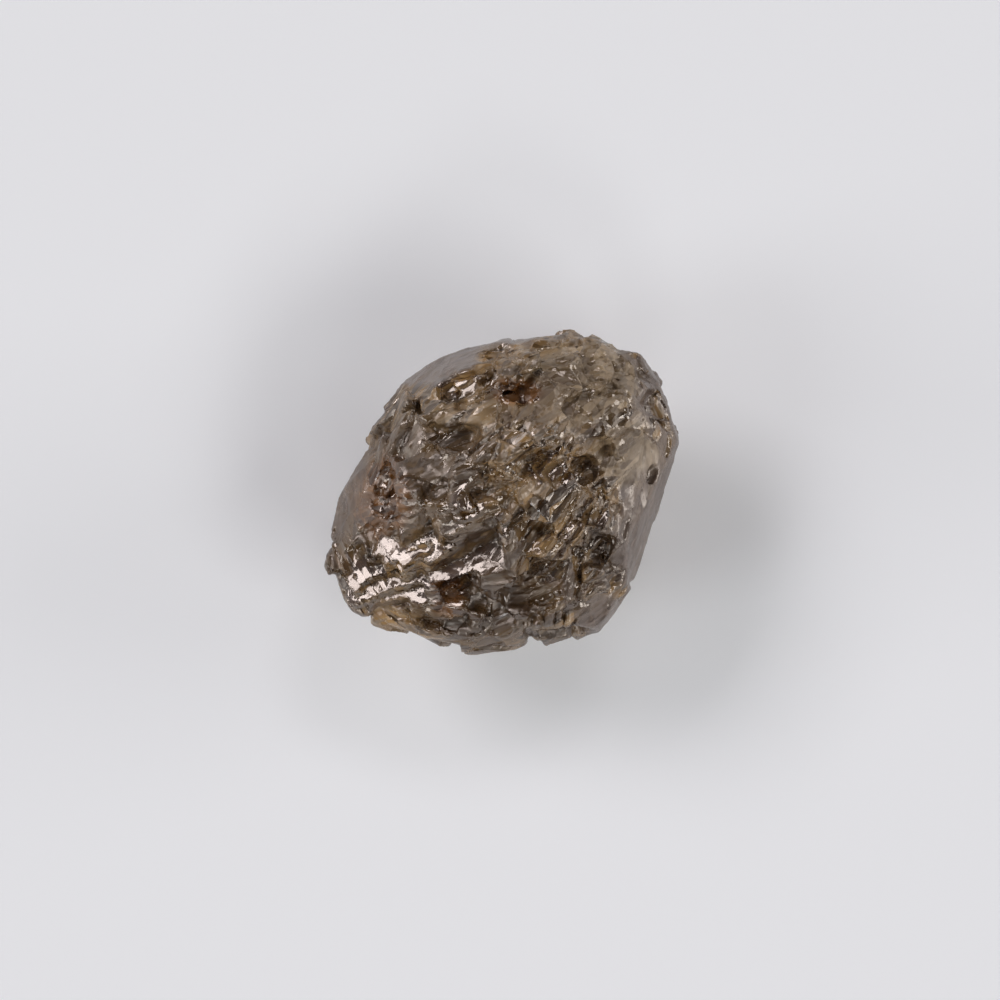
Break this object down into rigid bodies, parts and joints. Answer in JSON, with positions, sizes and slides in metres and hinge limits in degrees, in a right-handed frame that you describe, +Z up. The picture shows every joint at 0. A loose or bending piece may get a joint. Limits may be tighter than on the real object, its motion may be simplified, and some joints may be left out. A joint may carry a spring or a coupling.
{
  "type": "rough diamond",
  "caption": "Single natural brown diamond crystal, uncut: a worn, lopsided octahedral stone with etched, stepped and broken faces, lying on a flat cleavage face.",
  "frame": {"origin": "under the middle of the stone's bounding box, on the surface that the stone rests on", "axes": "+X along the stone's longest way, +Y along its width, towards its back, +Z up from the face it rests on"},
  "size_m": [0.0072, 0.0066, 0.0053],
  "materials": {
    "brown_diamond": "translucent smoky brown diamond with an adamantine lustre, glassy on its worn faces and frosted where it is etched"
  },
  "bodies": {
    "root": {"rough_diamond": "brown_diamond"}
  },
  "joints": []
}
